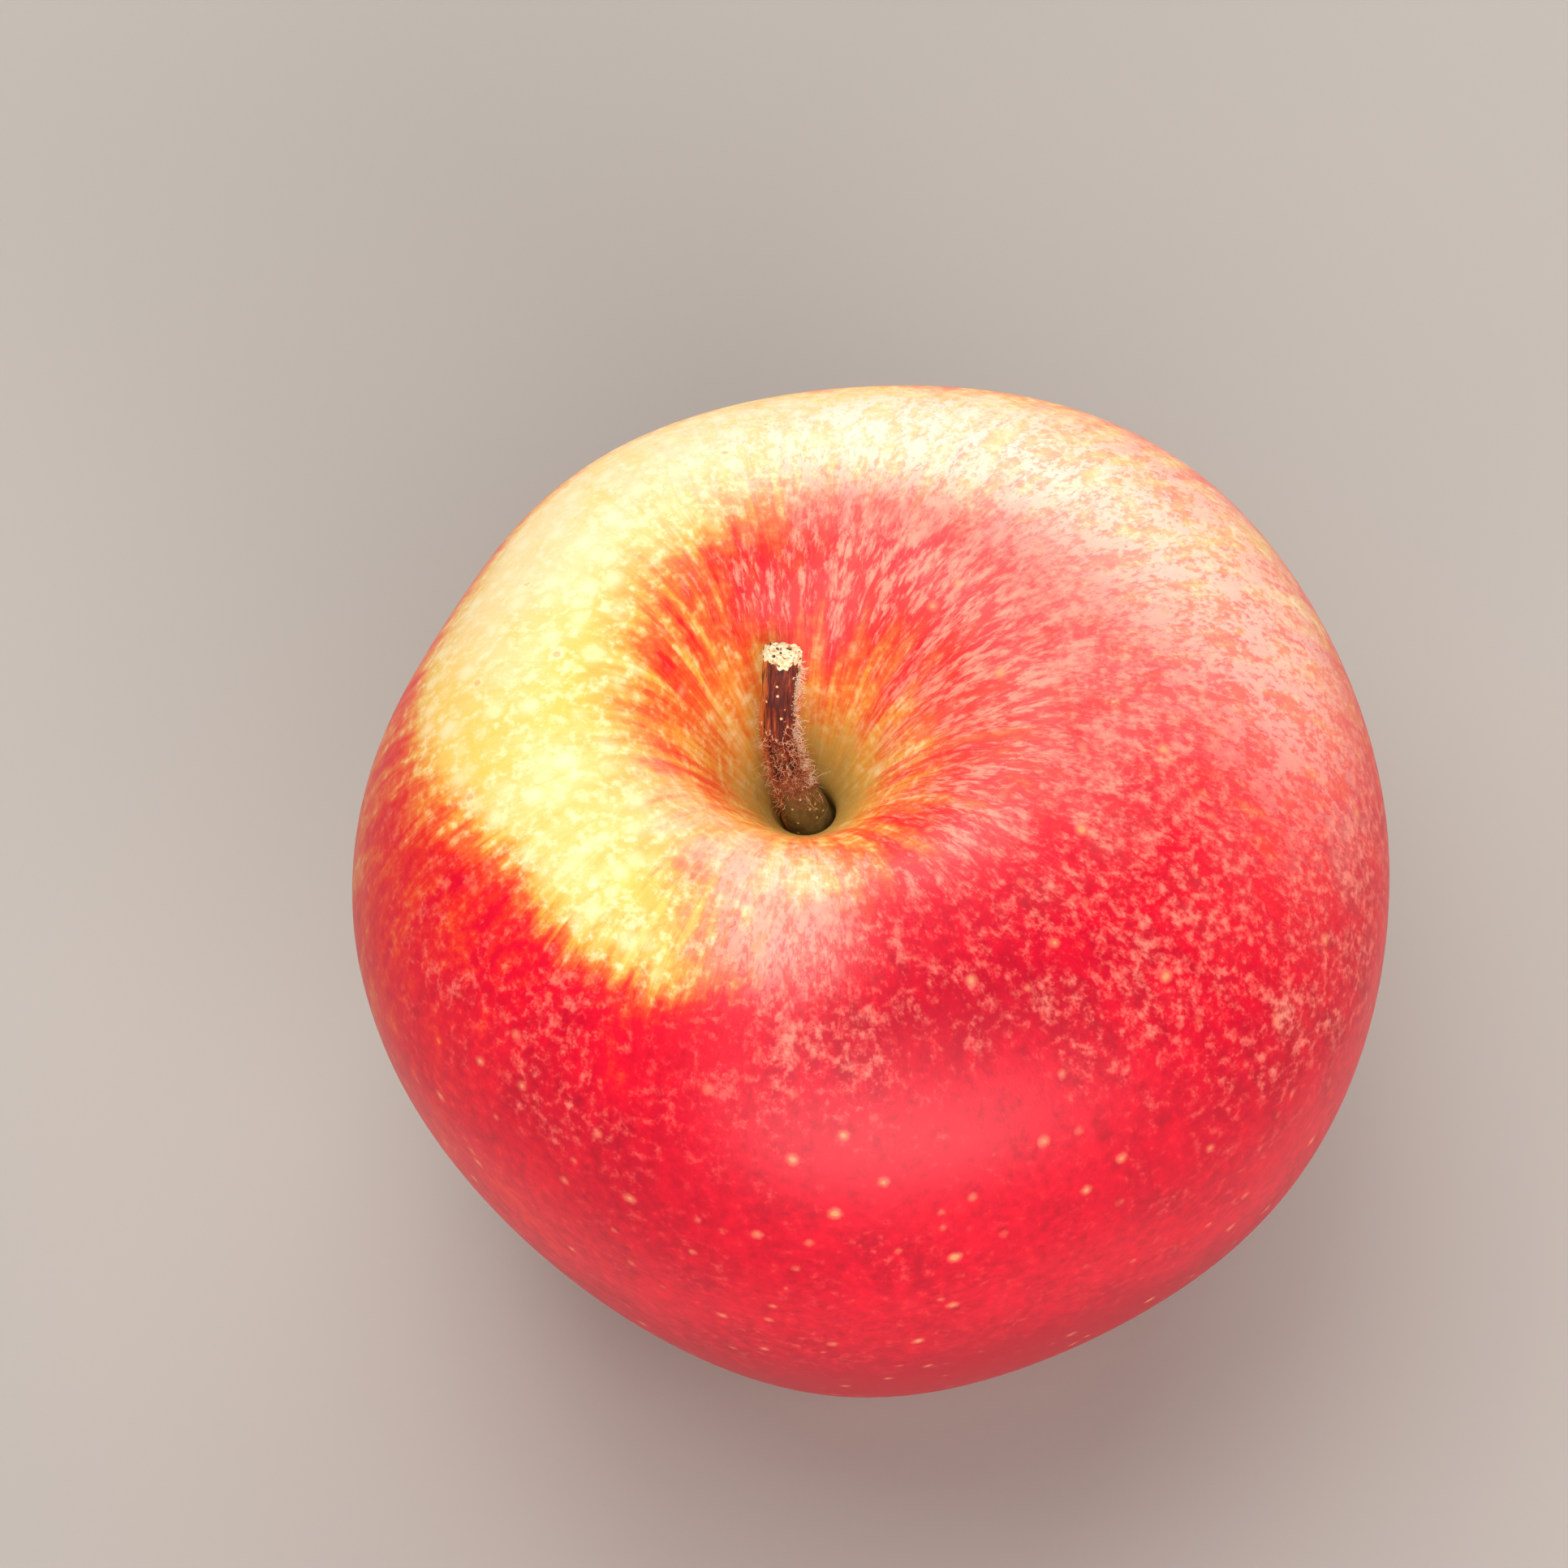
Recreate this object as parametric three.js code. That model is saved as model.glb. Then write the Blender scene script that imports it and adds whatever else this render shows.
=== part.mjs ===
// A ripe dessert apple, standing on the lobes round its dried flower end.
//
// Units are millimetres and +Z is up. Every piece is first laid out round an upright core line that
// starts at the foot, and grow() then moves it to where it grew. The whole is set down last, so that
// the origin is under the middle of the fruit, on the surface that it stands on.

import * as THREE from 'three';

// Fruit, before it is grown out of round
const HEIGHT = 63.7; // foot to shoulder crest
const GIRTH_RADIUS = 39; // mean radius at the widest ring
const GIRTH_HEIGHT = 41.5;
const CREST_RADIUS = 18.4; // highest ring, round the stem hollow
const HOLLOW_DEPTH = 15.4;
const FOOT_RADIUS = 15.4; // lowest ring, round the flower end
const BASIN_DEPTH = 8;
// How far each rounded stretch of the outline stays level or upright, as a share of what it spans
const FULLNESS = { foot: 0.494, lowerSide: 0.566, upperSide: 0.522, shoulder: 0.59, crest: 0.43 };
const BASIN_HANDLES = [[4.5, 4], [9.2, 0]]; // draw the basin's wall out and down to the foot
const HOLLOW_WALL = { out: 4.3, up: 6 }; // slope of the hollow's wall where it leaves the socket

// Holes at the two ends of the core line
const SOCKET = { radius: 2.2, endRadius: 2.1, depth: 3.2, dish: 0.2 }; // where the stem is rooted
const TUBE = { radius: 2.6, endRadius: 2.2, depth: 3.2, dish: 0.4 }; // cup of the old flower

// Growth: waves round the girth, each with its share of the radius and the direction where it peaks
const SWELLS = [
  { waves: 1, share: 0.1, peak: 4 }, // fuller on one side
  { waves: 2, share: 0.037, peak: 38 }, // oval
  { waves: 3, share: 0.009, peak: 70 },
  { waves: 5, share: 0.015, peak: -93 }, // ribs
];
const RIB = SWELLS[3];
const LEAN = { x: -0.08, y: 0.003 }; // sideways travel of the core line for each mm of height
const SHOULDER_TILT = { x: -0.054, y: -0.031 }; // rise of the shoulder for each mm sideways
const HOLLOW_DRIFT = -1.5; // sideways travel of the hollow's floor off the middle of the crest
const DRIFT_RISE = 0.3; // share of the upper half in which that travel comes on
const CORE_RADIUS = 3; // inside this there is no swell
const LOBE_LIFT = 1.2; // how far the foot is lifted between two lobes
const LOBE_FADE = 4; // power by which the lobes fade towards the girth
const FLAT_DEPTH = 0.3; // how much of each lobe is pressed flat

// Stem: route from its root, measured from the hollow's floor, and half widths along its length
const STEM_ROUTE = [
  [0, 0, -2.8],
  [0, 0, 0],
  [-0.9, 1, 3.2],
  [-1.55, 2.9, 7.6],
  [-1.05, 6.2, 12.9],
];
const STEM_HALF_WIDTHS = [1.7, 1.8, 1.55, 1.4, 1.3, 1.3, 1.36, 1.5];

// Dried flower end: each route is [distance from the core line, height] from root to tip
const SEPAL_COUNT = 5;
const SEPAL_ROUTE = [[2.75, 6.3], [2.25, 4.6], [2.7, 3.1], [4.5, 2.1]];
const SEPAL_HALF_WIDTHS = [0.8, 1.05, 0.9, 0.55, 0.15];
const SEPAL_THICKNESS = 0.24; // as a share of its width
const STAMEN_COUNT = 10;
const STAMEN_ROUTE = [[1.5, 10.5], [1.4, 8.5], [1.15, 6.8], [1.05, 5.6]];
const SHORT_STAMEN = 0.8; // length of every second stamen, as a share of the others'
const STAMEN_HALF_WIDTHS = [0.15, 0.15, 0.14, 0.14, 0.14, 0.27, 0.2];
const STYLE_ROUTE = [[0, 10.8], [0.05, 8], [0, 5.2]];
const STYLE_HALF_WIDTHS = [0.42, 0.36, 0.28, 0.3];

// Fineness
const FRUIT_SIDES = 72;
const FRUIT_STEPS = 11; // along each curve of the outline
const STEM_SIDES = 18;
const STEM_STEPS = 20;
const TRIM_SIDES = 8;
const TRIM_STEPS = 8;

const { clamp, degToRad, smoothstep } = THREE.MathUtils;

// Moves one point from the upright layout to where it grew. Near the core line there is no swell,
// so that the stem and the flower parts keep their section.
function grow(point) {
  const angle = Math.atan2(point.y, point.x);
  const distance = Math.hypot(point.x, point.y);
  const reach = smoothstep(distance, CORE_RADIUS, FOOT_RADIUS);
  let swell = 1;
  for (const { waves, share, peak } of SWELLS) {
    swell += reach * share * Math.cos(waves * (angle - degToRad(peak)));
  }
  point.x *= swell;
  point.y *= swell;

  const rib = Math.cos(RIB.waves * (angle - degToRad(RIB.peak)));
  const aboveGirth = point.z - GIRTH_HEIGHT;
  const low = clamp(-aboveGirth / GIRTH_HEIGHT, 0, 1);
  const high = clamp(aboveGirth / (HEIGHT - GIRTH_HEIGHT), 0, 1);
  const inHollow = Math.min(high / DRIFT_RISE, 1) * (1 - smoothstep(distance, 0, CREST_RADIUS));
  point.z += reach * LOBE_LIFT * low ** LOBE_FADE * (1 - rib) / 2;
  point.z += high * (SHOULDER_TILT.x * point.x + SHOULDER_TILT.y * point.y);
  point.x += LEAN.x * aboveGirth + HOLLOW_DRIFT * inHollow;
  point.y += LEAN.y * aboveGirth;
  point.z = Math.max(point.z - FLAT_DEPTH, 0);
}

function moveVertices(geometry, move) {
  const position = geometry.attributes.position;
  const point = new THREE.Vector3();
  for (let i = 0; i < position.count; i++) {
    move(point.fromBufferAttribute(position, i));
    position.setXYZ(i, point.x, point.y, point.z);
  }
  geometry.computeVertexNormals();
  return geometry;
}

// Half outline of the fruit as [distance from the core line, height], from the tube's end, over the
// foot, girth and crest, to the socket's end
function fruitOutline() {
  const hollowFloor = HEIGHT - HOLLOW_DEPTH;
  const outline = new THREE.Path();
  outline.moveTo(0, BASIN_DEPTH + TUBE.depth + TUBE.dish);
  outline.lineTo(TUBE.endRadius, BASIN_DEPTH + TUBE.depth);
  outline.lineTo(TUBE.radius, BASIN_DEPTH);
  outline.bezierCurveTo(...BASIN_HANDLES[0], ...BASIN_HANDLES[1], FOOT_RADIUS, 0);
  outline.bezierCurveTo(
    FOOT_RADIUS + (GIRTH_RADIUS - FOOT_RADIUS) * FULLNESS.foot, 0,
    GIRTH_RADIUS, GIRTH_HEIGHT * (1 - FULLNESS.lowerSide),
    GIRTH_RADIUS, GIRTH_HEIGHT,
  );
  outline.bezierCurveTo(
    GIRTH_RADIUS, GIRTH_HEIGHT + (HEIGHT - GIRTH_HEIGHT) * FULLNESS.upperSide,
    CREST_RADIUS + (GIRTH_RADIUS - CREST_RADIUS) * FULLNESS.shoulder, HEIGHT,
    CREST_RADIUS, HEIGHT,
  );
  outline.bezierCurveTo(
    CREST_RADIUS * (1 - FULLNESS.crest), HEIGHT,
    SOCKET.radius + HOLLOW_WALL.out, hollowFloor + HOLLOW_WALL.up,
    SOCKET.radius, hollowFloor,
  );
  outline.lineTo(SOCKET.endRadius, hollowFloor - SOCKET.depth);
  outline.lineTo(0, hollowFloor - SOCKET.depth - SOCKET.dish);
  return outline.getPoints(FRUIT_STEPS);
}

// A long thin piece: half widths spaced evenly from root to tip are turned to a spindle, which is
// pressed to an oval and carried along the route, with its wide side square to the direction out
function spindle(route, halfWidths, sides, steps, out, thickness = 1) {
  const last = halfWidths.length - 1;
  const edge = new THREE.SplineCurve(halfWidths.map((half, i) => new THREE.Vector2(half, i / last)));
  const outline = [new THREE.Vector2(0, 0), ...edge.getPoints(steps), new THREE.Vector2(0, 1)];
  return moveVertices(new THREE.LatheGeometry(outline, sides), (point) => {
    const along = clamp(point.y, 0, 1);
    const ahead = route.getTangentAt(along);
    const side = out.clone().cross(ahead).normalize();
    const front = side.clone().cross(ahead);
    const { x, z } = point;
    point.copy(route.getPointAt(along));
    point.addScaledVector(side, x).addScaledVector(front, z * thickness);
    grow(point);
  });
}

// Route of a piece that stands round the core line, in the upright plane at the given angle
function routeAt(angle, places) {
  const points = places.map(([distance, height]) => new THREE.Vector3(
    distance * Math.cos(angle),
    distance * Math.sin(angle),
    height,
  ));
  return new THREE.CatmullRomCurve3(points);
}

const skin = new THREE.MeshStandardMaterial({ color: '#cf2b24', roughness: 0.38, metalness: 0 });
const bark = new THREE.MeshStandardMaterial({ color: '#5e2c1c', roughness: 0.8, metalness: 0 });
const sepalLeaf = new THREE.MeshStandardMaterial({ color: '#5a4a34', roughness: 0.9, metalness: 0 });
const thread = new THREE.MeshStandardMaterial({ color: '#4a3424', roughness: 0.9, metalness: 0 });

const apple = new THREE.Group();

function add(name, geometry, material) {
  const mesh = new THREE.Mesh(geometry, material.clone());
  mesh.name = name;
  apple.add(mesh);
}

const turned = new THREE.LatheGeometry(fruitOutline(), FRUIT_SIDES).rotateX(Math.PI / 2);
add('fruit', moveVertices(turned, grow), skin);

const rightward = new THREE.Vector3(1, 0, 0);
const stemRoute = new THREE.CatmullRomCurve3(STEM_ROUTE.map(
  ([x, y, z]) => new THREE.Vector3(x, y, HEIGHT - HOLLOW_DEPTH + z),
));
add('stem', spindle(stemRoute, STEM_HALF_WIDTHS, STEM_SIDES, STEM_STEPS, rightward), bark);

for (let i = 0; i < SEPAL_COUNT; i++) {
  const angle = (i / SEPAL_COUNT) * 2 * Math.PI;
  const out = new THREE.Vector3(Math.cos(angle), Math.sin(angle), 0);
  const route = routeAt(angle, SEPAL_ROUTE);
  const geometry = spindle(route, SEPAL_HALF_WIDTHS, TRIM_SIDES, TRIM_STEPS, out, SEPAL_THICKNESS);
  add(`sepal_${i + 1}`, geometry, sepalLeaf);
}

for (let i = 0; i < STAMEN_COUNT; i++) {
  const angle = ((i + 0.5) / STAMEN_COUNT) * 2 * Math.PI;
  const out = new THREE.Vector3(Math.cos(angle), Math.sin(angle), 0);
  const length = i % 2 ? SHORT_STAMEN : 1;
  const rootHeight = STAMEN_ROUTE[0][1];
  const places = STAMEN_ROUTE.map(([distance, height]) => [
    distance,
    rootHeight + (height - rootHeight) * length,
  ]);
  const route = routeAt(angle, places);
  const geometry = spindle(route, STAMEN_HALF_WIDTHS, TRIM_SIDES, TRIM_STEPS, out);
  add(`stamen_${String(i + 1).padStart(2, '0')}`, geometry, thread);
}

const styleRoute = routeAt(0, STYLE_ROUTE);
add('styles', spindle(styleRoute, STYLE_HALF_WIDTHS, TRIM_SIDES, TRIM_STEPS, rightward), thread);

const middle = new THREE.Box3().setFromObject(apple).getCenter(new THREE.Vector3());
apple.position.set(-middle.x, -middle.y, 0);

export default apple;
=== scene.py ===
"""A ripe red and yellow dessert apple, standing on the lobes round its dried flower end.

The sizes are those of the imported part. A shape is first laid out round an upright core line that
starts at the foot, and grow() then moves it to where it grew, as the part's own source does.
"""

import math

import bpy
import numpy as np
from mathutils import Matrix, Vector


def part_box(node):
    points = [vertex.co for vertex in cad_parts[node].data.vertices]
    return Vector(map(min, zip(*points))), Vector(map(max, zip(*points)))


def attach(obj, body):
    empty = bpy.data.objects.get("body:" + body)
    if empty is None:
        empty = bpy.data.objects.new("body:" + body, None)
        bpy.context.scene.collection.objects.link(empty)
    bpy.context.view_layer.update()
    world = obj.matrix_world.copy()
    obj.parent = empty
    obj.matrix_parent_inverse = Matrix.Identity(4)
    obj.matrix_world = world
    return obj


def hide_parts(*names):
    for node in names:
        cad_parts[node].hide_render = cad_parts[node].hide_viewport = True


bl_info = {
    "name": "Dessert apple",
    "version": (1, 0, 0),
    "blender": (4, 5, 0),
    "location": "3D View > Sidebar > Fruit",
    "description": "Builds a blushed dessert apple with its stem, dried flower end and studio",
    "category": "Add Mesh",
}

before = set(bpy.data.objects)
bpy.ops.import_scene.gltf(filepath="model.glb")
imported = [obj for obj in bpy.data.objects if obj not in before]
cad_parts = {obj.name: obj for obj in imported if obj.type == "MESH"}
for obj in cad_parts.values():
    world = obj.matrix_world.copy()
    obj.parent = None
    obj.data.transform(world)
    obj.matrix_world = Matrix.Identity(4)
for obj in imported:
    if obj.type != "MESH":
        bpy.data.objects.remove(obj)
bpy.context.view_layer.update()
MM = 0.001

# ---- growth of the fruit
# Waves round the girth: how many, share of the radius, direction of the first peak in degrees
SWELLS = ((1, 0.1, 4), (2, 0.037, 38), (3, 0.009, 70), (5, 0.015, -93))
RIBS, _, RIB_PEAK = SWELLS[3]
LEAN = (-0.08, 0.003)  # sideways travel of the core line for each unit of height
SHOULDER_TILT = (-0.054, -0.031)  # rise of the shoulder for each unit sideways
HOLLOW_DRIFT = -1.5 * MM  # sideways travel of the hollow's floor off the middle of the crest
DRIFT_RISE = 0.3  # share of the upper half in which that travel comes on
CORE_RADIUS = 3 * MM  # inside this there is no swell
LOBE_LIFT = 1.2 * MM  # how far the foot is lifted between two lobes
LOBE_FADE = 4  # power by which the lobes fade towards the girth
FLAT_DEPTH = 0.3 * MM  # how much of each lobe is pressed flat
DIMPLING = 0.0022  # share of the radius by which the skin is gently uneven
DIMPLE_LENGTH = 60 * MM  # stretch of the outline over which that pattern is laid
DIMPLE_RISE = (6 * MM, 20 * MM)  # radii between which it comes on

# Outline of the fruit, as the handles of cubic curves. How far each rounded stretch stays level or
# upright is a share of what it spans, and the rest are [radius, height] in mm
FOOT_FULLNESS, LOWER_FULLNESS, UPPER_FULLNESS = 0.494, 0.566, 0.522
SHOULDER_FULLNESS, CREST_FULLNESS = 0.59, 0.43
BASIN_HANDLES = ((4.5, 4), (9.2, 0))
TUBE_PLACES = ((0, 3.6), (0.9, 3.5), (2, 3.2), (2.3, 2), (2.5, 0.9), (2.5, 0.5), (2.8, -0.35))
HOLLOW_PLACES = (
    (7, 6.7), (2.75, 0.75), (2.1, -0.1), (2.2, -1.6), (2.1, -2.4), (1.9, -3.3), (1, -3.5), (0, -3.5),
)
CURVE_STEPS = 160
CROWDING = 0.62  # how much closer the rows lie in the two holes, from 0 to 1


def smooth_step(value, low, high):
    """0 below low, 1 above high, and an even S curve between them."""
    share = np.clip((value - low) / (high - low), 0, 1)
    return share * share * (3 - 2 * share)


def round_turn(count):
    """Angles evenly spaced round a full turn."""
    return np.arange(count) * 2 * np.pi / count


def travel(points):
    """Distance from the first point to each point, along the line through them all."""
    return np.append(0, np.cumsum(np.linalg.norm(np.diff(points, axis=0), axis=1)))


def grow(size, points):
    """Points of the upright layout, moved to where they grew.

    The radius is multiplied by one plus a sum of cosine waves round the core line, which fades out
    towards the core. Height gains the lift between lobes and the tilt of the shoulder, the core
    line leans with height, and what comes out lower than the standing surface is pressed flat.
    """
    x, y, z = points[..., 0], points[..., 1], points[..., 2]
    angle = np.arctan2(y, x)
    distance = np.hypot(x, y)
    reach = smooth_step(distance, CORE_RADIUS, size.foot_radius)
    swell = 1
    for waves, share, peak in SWELLS:
        swell = swell + reach * share * np.cos(waves * (angle - math.radians(peak)))
    x, y = x * swell, y * swell
    rib = np.cos(RIBS * (angle - math.radians(RIB_PEAK)))
    above = z - size.girth_height
    low = np.clip(-above / size.girth_height, 0, 1)
    high = np.clip(above / (size.height - size.girth_height), 0, 1)
    in_hollow = np.minimum(high / DRIFT_RISE, 1) * (1 - smooth_step(distance, 0, size.crest_radius))
    z = z + reach * LOBE_LIFT * low**LOBE_FADE * (1 - rib) / 2
    z = z + high * (SHOULDER_TILT[0] * x + SHOULDER_TILT[1] * y)
    x = x + LEAN[0] * above + HOLLOW_DRIFT * in_hollow
    y = y + LEAN[1] * above
    return np.stack([x, y, np.maximum(z - FLAT_DEPTH, 0)], -1)


def bend(*places):
    """A cubic Bezier curve through four places, without its last point."""
    start, first, second, end = np.array(places, float)
    t = (np.arange(CURVE_STEPS) / CURVE_STEPS)[:, None]
    back = 1 - t
    return back**3 * start + 3 * back**2 * t * first + 3 * back * t**2 * second + t**3 * end


def fruit_outline(size):
    """Half outline as [radius, height]: out of the flower tube, over foot, girth and crest, and
    down the stem hollow to the floor of the socket. Each stretch is one cubic curve, which ends
    where the next one starts."""
    foot, girth, crest = size.foot_radius, size.girth_radius, size.crest_radius
    middle, top = size.girth_height, size.height
    floor = top - size.hollow_depth
    places = [
        *((radius * MM, size.basin_depth + height * MM) for radius, height in TUBE_PLACES),
        *((radius * MM, height * MM) for radius, height in BASIN_HANDLES),
        (foot, 0),
        (foot + (girth - foot) * FOOT_FULLNESS, 0),
        (girth, middle * (1 - LOWER_FULLNESS)),
        (girth, middle),
        (girth, middle + (top - middle) * UPPER_FULLNESS),
        (crest + (girth - crest) * SHOULDER_FULLNESS, top),
        (crest, top),
        (crest * (1 - CREST_FULLNESS), top),
        *((radius * MM, floor + height * MM) for radius, height in HOLLOW_PLACES),
    ]
    return np.vstack([bend(*places[k:k + 4]) for k in range(0, len(places) - 1, 3)] + [places[-1:]])


def fruit_rows(size, count):
    """Rows of the fruit from end to end: their arc length, radius and height.

    Row t of 0 to 1 lies at the arc length total * (t - crowding * sin(2 pi t) / (2 pi)), which sets
    the rows close together in the two holes and further apart on the side.
    """
    outline = fruit_outline(size)
    travelled = travel(outline)
    t = np.linspace(0, 1, count)
    arc = travelled[-1] * (t - CROWDING * np.sin(2 * np.pi * t) / (2 * np.pi))
    return arc, np.interp(arc, travelled, outline[:, 0]), np.interp(arc, travelled, outline[:, 1])


def fruit_points(size, columns, rows):
    """The grown skin as rows of points, with each row's arc length and radius, and the longitudes."""
    arc, radius, height = fruit_rows(size, rows)
    longitude = round_turn(columns)
    uneven = ripples(longitude, arc[:, None] / DIMPLE_LENGTH, seed=4, turns=9, pitch=9, count=22)
    wide = radius[:, None] * (1 + DIMPLING * uneven * smooth_step(radius, *DIMPLE_RISE)[:, None])
    tall = np.broadcast_to(height[:, None], wide.shape)
    upright = np.stack([wide * np.cos(longitude), wide * np.sin(longitude), tall], -1)
    return grow(size, upright), arc, radius, longitude


def ripples(turn, along, seed, turns, pitch, count):
    """Seeded uneven field that closes round the piece: a sum of sine waves, each with a whole number
    of waves round the turn (an angle) and a pitch along the piece, scaled to about -1 to 1."""
    dice = np.random.default_rng(seed)
    field = 0
    for _ in range(count):
        waves = dice.integers(0, turns + 1)
        steps = dice.uniform(-pitch, pitch)
        field = field + np.sin(waves * turn + steps * along + dice.uniform(0, 2 * np.pi))
    return field / math.sqrt(count)


# ---- meshes
def lay_mesh(name, rings, start, end):
    """One mesh of closed tubes. rings is [tube, ring, place round, xyz], and start and end are the
    points that close each tube. The points go round anticlockwise as seen from the end, so that
    each face, in the order (ring, next place, next ring), points outwards."""
    tubes, count, places, _ = rings.shape
    points = np.concatenate([rings.reshape(-1, 3), start.reshape(-1, 3), end.reshape(-1, 3)])
    number = np.arange(tubes * count * places).reshape(tubes, count, places)
    beside = np.roll(number, -1, axis=2)
    quads = np.stack([number[:, :-1], beside[:, :-1], beside[:, 1:], number[:, 1:]], -1).reshape(-1, 4)
    first = np.broadcast_to((number.size + np.arange(tubes))[:, None], (tubes, places))
    last = first + tubes
    bottom = np.stack([first, beside[:, 0], number[:, 0]], -1).reshape(-1, 3)
    top = np.stack([last, number[:, -1], beside[:, -1]], -1).reshape(-1, 3)
    mesh = bpy.data.meshes.new(name)
    mesh.from_pydata(points.tolist(), [], quads.tolist() + bottom.tolist() + top.tolist())
    mesh.shade_smooth()
    return mesh


def write_fields(mesh, **fields):
    """Writes fields on the mesh's points for its material to read, each a number or a vector."""
    for name, values in fields.items():
        kind, key = ("FLOAT", "value") if values.ndim == 1 else ("FLOAT_VECTOR", "vector")
        attribute = mesh.attributes.new(name, kind, "POINT")
        attribute.data.foreach_set(key, values.astype(np.float32).ravel())


def put(name, data):
    """Puts an object with this data into the scene."""
    item = bpy.data.objects.new(name, data)
    bpy.context.scene.collection.objects.link(item)
    return item


def set_piece(name, mesh, material, node):
    """Puts a finished mesh into the scene as a piece that stands for the named CAD node."""
    piece = put(name, mesh)
    mesh.materials.append(material)
    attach(piece, "root")
    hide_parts(node)


def middle_of(size):
    """How far the grown fruit's middle is from the core line's foot, sideways."""
    points = fruit_points(size, 144, 160)[0].reshape(-1, 3)
    low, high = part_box("fruit")
    wanted = np.array([(low.x + high.x) / 2, (low.y + high.y) / 2, 0])
    return (points.min(0) + points.max(0)) / 2 * (1, 1, 0) - wanted


def spline(places, count):
    """A smooth route through the given places, as count points evenly spaced by parameter. Between two
    places it is the cubic whose slopes are half the step between the neighbours on either side."""
    places = np.array(places, float)
    padded = np.vstack([2 * places[0] - places[1], places, 2 * places[-1] - places[-2]])
    t = np.linspace(0, len(places) - 1, count)
    index = np.minimum(t.astype(int), len(places) - 2)
    t = (t - index)[:, None]
    before, here, there, after = (padded[index + k] for k in range(4))
    return 0.5 * (
        2 * here
        + (there - before) * t
        + (2 * before - 5 * here + 4 * there - after) * t**2
        + (3 * here - 3 * there + after - before) * t**3
    )


def even_route(places, count):
    """The spline through the places, with its points evenly spaced by length."""
    fine = spline(places, 20 * count)
    travelled = travel(fine)
    wanted = np.linspace(0, travelled[-1], count)
    return np.stack([np.interp(wanted, travelled, fine[:, k]) for k in range(3)], -1)


def spread(along, values, count=100):
    """A spline through evenly spaced values in mm, read at a share of the length."""
    fine = spline([[value] for value in values], count)[:, 0] * MM
    return np.interp(along, np.linspace(0, 1, count), fine)


def unit(vectors):
    return vectors / np.linalg.norm(vectors, axis=-1, keepdims=True)


def sides_of(route, out):
    """Three unit vectors at each point of a route: side, which is square to the route and to out,
    front, which is square to the route and to side, and the way ahead. They are right-handed."""
    ahead = unit(np.gradient(route, axis=0))
    side = unit(np.cross(out, ahead))
    return side, np.cross(ahead, side), ahead


# ---- colour of the skin
# Each station is (longitude in degrees, value). Longitude 0 is +X and 90 is +Y.
# The yellow crescent lies where leaves shaded the shoulder: arc of its middle and half width in mm,
# and how yellow it is.
CRESCENT_MIDDLE = (
    (0, 90), (30, 90), (60, 96), (90, 96.5), (135, 96.5), (180, 99.5), (210, 105.6), (240, 100.8),
    (262, 105), (300, 106),
)
CRESCENT_HALF = (
    (0, 6), (30, 9), (60, 7), (90, 8), (115, 7), (140, 8), (165, 9.2), (180, 8.5), (210, 6.2),
    (240, 6.4), (270, 4), (330, 4),
)
CRESCENT_SHARE = (
    (0, 0.3), (30, 0.6), (60, 0.68), (90, 0.84), (135, 1), (190, 0.93), (240, 0.88), (258, 0.5),
    (275, 0.15), (340, 0.05),
)
# How yellow the wall of the stem hollow is
HOLLOW_SHARE = (
    (0, 0.34), (60, 0.15), (95, 0.22), (125, 0.5), (165, 0.5), (195, 0.62), (225, 0.64),
    (262, 0.74), (285, 0.6), (305, 0.38), (330, 0.26),
)
# How yellow the side is below the crescent
SIDE_SHARE = (
    (0, 0.24), (30, 0.45), (60, 0.5), (120, 0.56), (165, 0.5), (195, 0.36), (215, 0.2),
    (240, 0.05), (270, -0.03), (320, -0.03), (345, 0.08),
)
# Arcs in mm between which one part of the skin gives way to the next
CRESCENT_RISE, CRESCENT_FALL = (-4.5, 3), (-6, 7)  # measured from its outer and its inner edge
SIDE_TO_HOLLOW = (100, 112)
HOLLOW_FLOOR, FLOWER_END = (111, 126), (14, 40)
HOLLOW_RUSSET, FLOWER_RUSSET = (115, 131), (4, 16)
FLOOR_YELLOW, FLOWER_YELLOW = 0.72, 0.75
ROUNDING = (-14, -7, 0, 7, 14)  # degrees over which a station's corner is averaged
# Soft ellipses on the skin: longitude, arc in mm, half width in degrees, half height in mm, strength
RED_PATCH = ((30, 106, 60, 9, 0.35),)
FLECK_PATCHES = (
    (20, 109, 54, 14, 0.95), (75, 109, 42, 9, 0.8), (345, 104, 26, 12, 0.32),
    (0, 115, 48, 8, 0.85), (312, 101, 30, 12, 0.42), (300, 111, 18, 4, 0.5),
    (266, 108, 24, 8, 0.95), (228, 91, 34, 9, 0.45), (15, 80, 50, 12, 0.6),
    (332, 88, 20, 8, 0.4), (272, 96, 15, 5, 0.45), (120, 112, 30, 8, 0.4),
)
# Painted sheen: cream patches where the back light's sheen falls, on the shoulder, mostly its far side, and
# at the near rim of the stem hollow.
SHEEN_AND_BLOOM_PATCHES = (
    (72, 98, 46, 7.5, 1.0), (28, 90, 34, 10, 0.62), (262, 106, 17, 6, 0.4),
    (240, 112, 40, 5, 0.35), (130, 95, 40, 9, 0.3),
)
# Painted shade: these patches deepen the red where the front below the shoulder and the lower side lie in
# shade. They stand for shade, not for the skin's own red.
SHADE_PATCHES = (
    (295, 99, 34, 7, 0.5), (245, 80, 30, 9, 0.4),
    (325, 78, 30, 9, 0.35), (285, 50, 62, 15, 0.85),
)
SHADE_RED = 0.35  # red that a deep patch adds
CLEAR_OF_FLECKS = 0.9  # share that is clear where there is no fleck patch


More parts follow.
